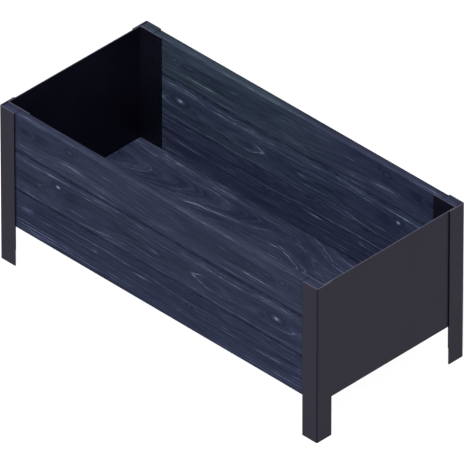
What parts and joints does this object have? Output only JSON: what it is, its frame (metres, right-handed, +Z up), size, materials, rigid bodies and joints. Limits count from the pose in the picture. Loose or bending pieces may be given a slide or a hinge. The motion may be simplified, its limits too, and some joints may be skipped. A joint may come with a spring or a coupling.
{
  "type": "raised planter",
  "caption": "Rectangular raised planter: dark stained tongue-and-groove timber walls between folded dark steel end panels on angle legs, open at the top, with a timber floor.",
  "frame": {"origin": "on the ground, at the centre of the footprint of the four legs", "axes": "+X along the planter's length, towards the right end; +Y from the front wall to the back wall; +Z up"},
  "size_m": [0.87, 0.405, 0.366],
  "materials": {
    "dark_steel": "powder-coated satin anthracite",
    "stained_timber": "dark blue-grey stained softwood",
    "stained_plywood": "dark blue-grey stained softwood plywood",
    "black_screws": "black coated"
  },
  "bodies": {
    "root": {"leg_front_left": "dark_steel", "leg_front_right": "dark_steel", "leg_back_left": "dark_steel", "leg_back_right": "dark_steel", "end_panel_left": "dark_steel", "end_panel_right": "dark_steel", "front_board_bottom": "stained_timber", "front_board_middle": "stained_timber", "front_board_top": "stained_timber", "back_board_bottom": "stained_timber", "back_board_middle": "stained_timber", "back_board_top": "stained_timber", "floor_panel": "stained_plywood", "floor_rail_left": "dark_steel", "floor_rail_middle": "dark_steel", "floor_rail_right": "dark_steel", "wall_screws_front_left": "black_screws", "wall_screws_front_right": "black_screws", "wall_screws_back_left": "black_screws", "wall_screws_back_right": "black_screws", "rail_screws": "black_screws"}
  },
  "joints": []
}
